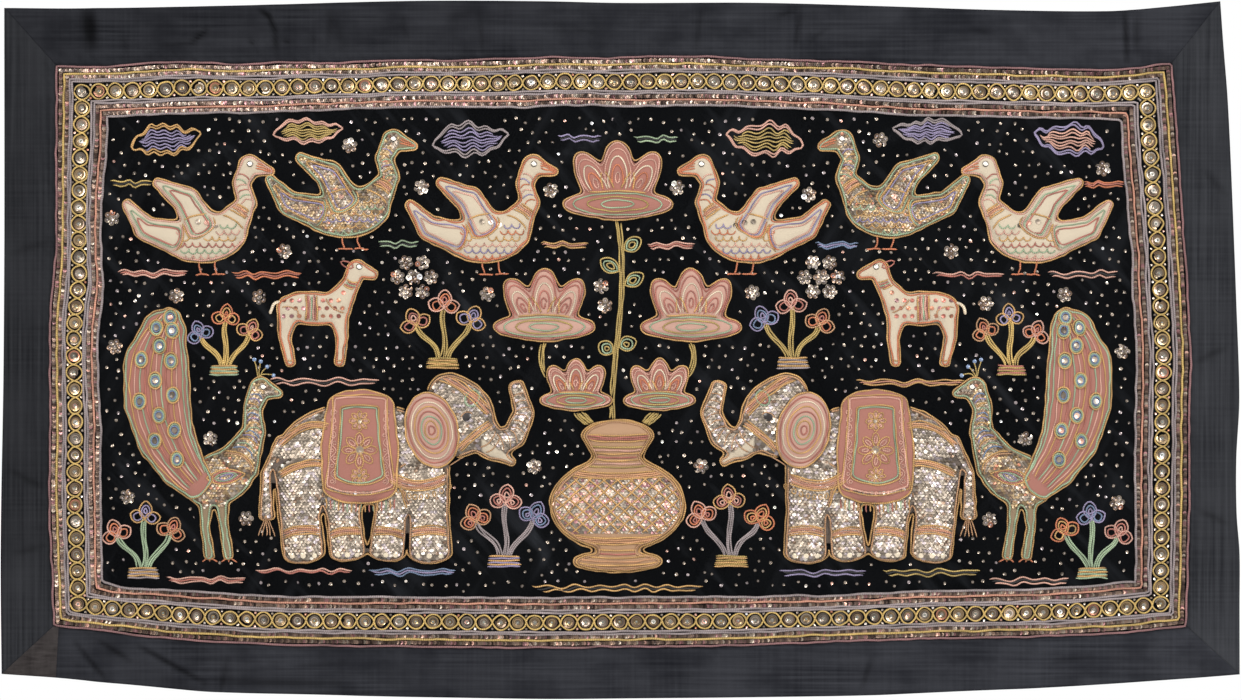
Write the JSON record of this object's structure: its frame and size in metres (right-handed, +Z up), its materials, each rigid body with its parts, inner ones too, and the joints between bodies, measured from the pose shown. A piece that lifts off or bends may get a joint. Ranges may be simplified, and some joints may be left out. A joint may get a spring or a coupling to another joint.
{
  "type": "tapestry",
  "caption": "Embroidered black velvet wall tapestry with a sequinned band, padded animals and lotuses, and a dark mitred cotton border, hung by its top edge.",
  "frame": {"origin": "middle of the top edge, where it is held", "axes": "+X along the width, to the right as seen from the front, -Y out of the embroidered face, +Z up"},
  "size_m": [1.4877, 0.0291, 0.8383],
  "materials": {
    "velvet": "black cotton velvet, matt with a soft sheen",
    "border_cotton": "charcoal plain-weave cotton with slubs, matt",
    "corner_cotton": "browner charcoal plain-weave cotton, matt",
    "band_sequins": "rows of overlapped pinkish silver sequins",
    "silver_sequins": "overlapped grey silver sequins, shiny",
    "bronze_sequins": "overlapped olive bronze sequins, shiny",
    "loose_sequins": "single cupped sequins, shiny",
    "rose_cloth": "dusty rose cotton with couched cords",
    "pink_cloth": "pink cotton with couched cords",
    "cream_cloth": "cream cotton",
    "gold_cord": "gold metallic cord",
    "mauve_cord": "mauve twisted cord",
    "lilac_cord": "lilac grey twisted cord",
    "salmon_cord": "salmon twisted cord",
    "bright_cord": "couched cords in pastel colours",
    "glass_bead": "small grey beads, shiny"
  },
  "bodies": {
    "root": {"velvet_ground": "velvet", "cotton_border_top": "border_cotton", "sequin_band_top": "band_sequins", "cotton_border_bottom": "border_cotton", "sequin_band_bottom": "band_sequins", "cotton_border_left": "border_cotton", "sequin_band_left": "band_sequins", "cotton_border_right": "border_cotton", "sequin_band_right": "band_sequins", "cotton_corner_patch": "corner_cotton", "elephant_left": "silver_sequins", "elephant_right": "silver_sequins", "ear_left": "pink_cloth", "ear_right": "pink_cloth", "saddle_left": "rose_cloth", "saddle_right": "rose_cloth", "peacock_left": "bronze_sequins", "peacock_right": "bronze_sequins", "peacock_tail_left": "rose_cloth", "peacock_tail_right": "rose_cloth", "goose_outer_left": "cream_cloth", "goose_outer_right": "cream_cloth", "goose_middle_left": "bronze_sequins", "goose_middle_right": "bronze_sequins", "goose_inner_left": "cream_cloth", "goose_inner_right": "cream_cloth", "deer_left": "cream_cloth", "deer_right": "cream_cloth", "lotus_high_left": "pink_cloth", "lotus_high_right": "pink_cloth", "lotus_low_left": "rose_cloth", "lotus_low_right": "rose_cloth", "vase": "bronze_sequins", "lotus_top": "rose_cloth"}
  },
  "joints": []
}
